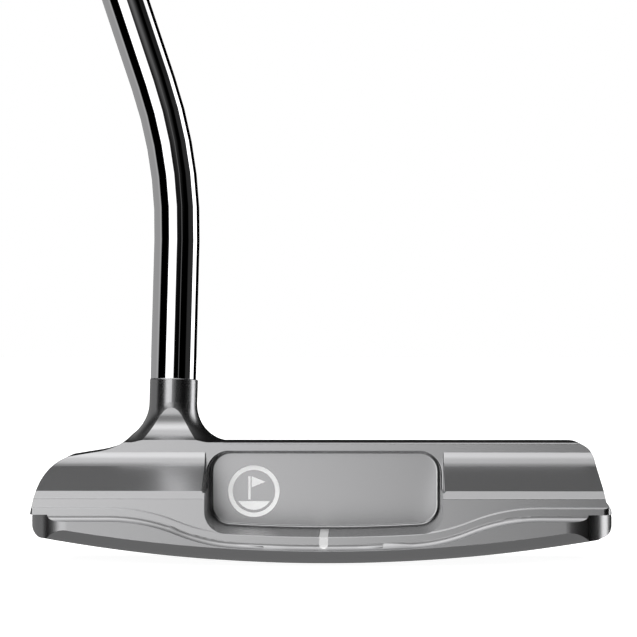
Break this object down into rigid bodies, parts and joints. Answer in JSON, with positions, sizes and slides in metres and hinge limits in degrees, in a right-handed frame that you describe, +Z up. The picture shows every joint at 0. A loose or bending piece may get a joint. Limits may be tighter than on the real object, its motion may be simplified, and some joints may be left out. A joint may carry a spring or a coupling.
{
  "type": "golf putter",
  "caption": "Right-handed blade golf putter: milled steel head with a rear pocket and stepped flange, neck with a post, bent chromed steel shaft and pistol grip.",
  "frame": {"origin": "on the ground, at the centre of the small flat milled on the sole, under the sighting line", "axes": "+X to the toe, +Y to the target (the strike face looks along +Y), +Z up, with the club at address"},
  "size_m": [0.3531, 0.04, 0.8284],
  "materials": {
    "milled_steel": "satin milled stainless steel",
    "shaft_chrome": "mirror chromed steel",
    "sight_paint": "pale grey enamel fill",
    "badge_silver": "silver enamel fill",
    "badge_white": "white enamel fill",
    "epoxy": "cured epoxy",
    "grip_skin": "moulded rubber with a pressed pattern",
    "underlisting": "EVA foam",
    "tape": "double-sided tape",
    "grip_cap": "moulded"
  },
  "bodies": {
    "root": {"putter_head": "milled_steel", "sight_line_fill": "sight_paint", "badge_ring": "badge_silver", "badge_pennant": "badge_white", "hosel_epoxy": "epoxy", "shaft": "shaft_chrome", "grip_skin": "grip_skin", "grip_underlisting": "underlisting", "grip_tape": "tape", "grip_cap": "grip_cap"}
  },
  "joints": []
}
